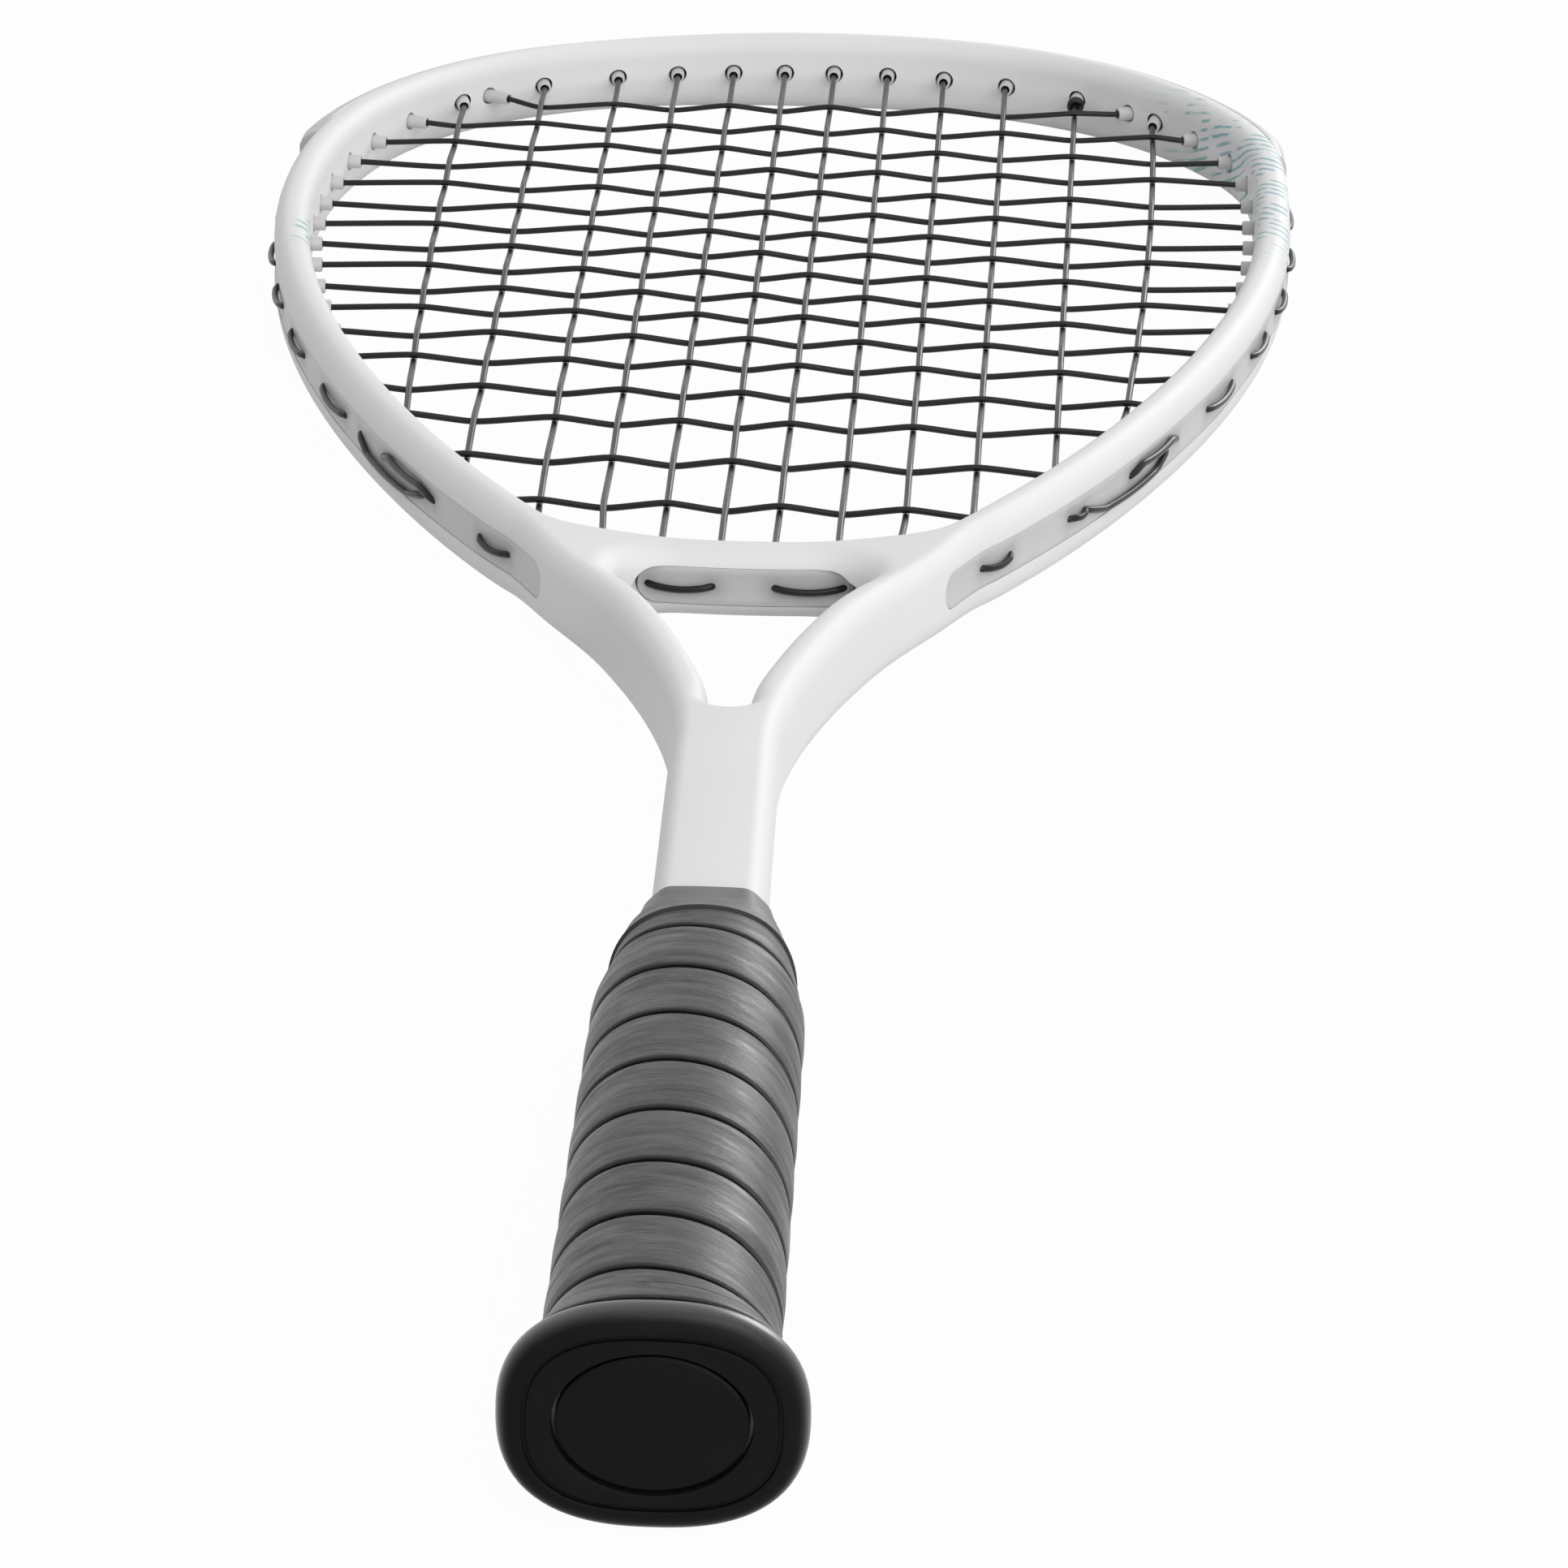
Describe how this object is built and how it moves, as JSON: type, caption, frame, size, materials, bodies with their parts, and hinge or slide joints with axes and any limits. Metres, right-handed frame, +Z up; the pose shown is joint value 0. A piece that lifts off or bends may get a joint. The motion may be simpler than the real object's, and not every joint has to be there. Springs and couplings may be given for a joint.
{
  "type": "squash racket",
  "caption": "Squash racket with a light hoop on a forked shaft, a bridge across the throat, a woven string bed, plastic string guards and a wound grip with a flared butt cap.",
  "frame": {"origin": "centre of the racket's box at the level of the surface that it lies on, string bed up", "axes": "+Y from the butt towards the tip of the hoop, +X to the right seen from above, +Z up"},
  "size_m": [0.2138, 0.686, 0.031],
  "materials": {
    "frame_lacquer": "white lacquer on composite",
    "guard_plastic": "frosted translucent",
    "string": "satin black",
    "handle_foam": "moulded foam",
    "cap_plastic": "satin black",
    "cover_plastic": "satin black",
    "grip": "soft polyurethane, charcoal",
    "tape": "matt black tape"
  },
  "bodies": {
    "racket": {"frame": "frame_lacquer", "throat_bridge": "frame_lacquer", "bumper_guard": "guard_plastic", "grommet_strip_right": "guard_plastic", "grommet_strip_left": "guard_plastic", "grommet_strip_bridge": "guard_plastic", "main_string": "string", "cross_string": "string", "string_knot": "string", "handle_pallet_upper": "handle_foam", "handle_pallet_lower": "handle_foam", "butt_cap": "cap_plastic", "grip_wrap": "grip", "finishing_tape": "tape"},
    "cover": {"butt_cover": "cover_plastic"}
  },
  "joints": [
    {"name": "cover_pull", "type": "slide", "parent": "racket", "child": "cover", "axis": [0, -0.9999, 0.0104], "range_m": [0, 0.02]}
  ]
}
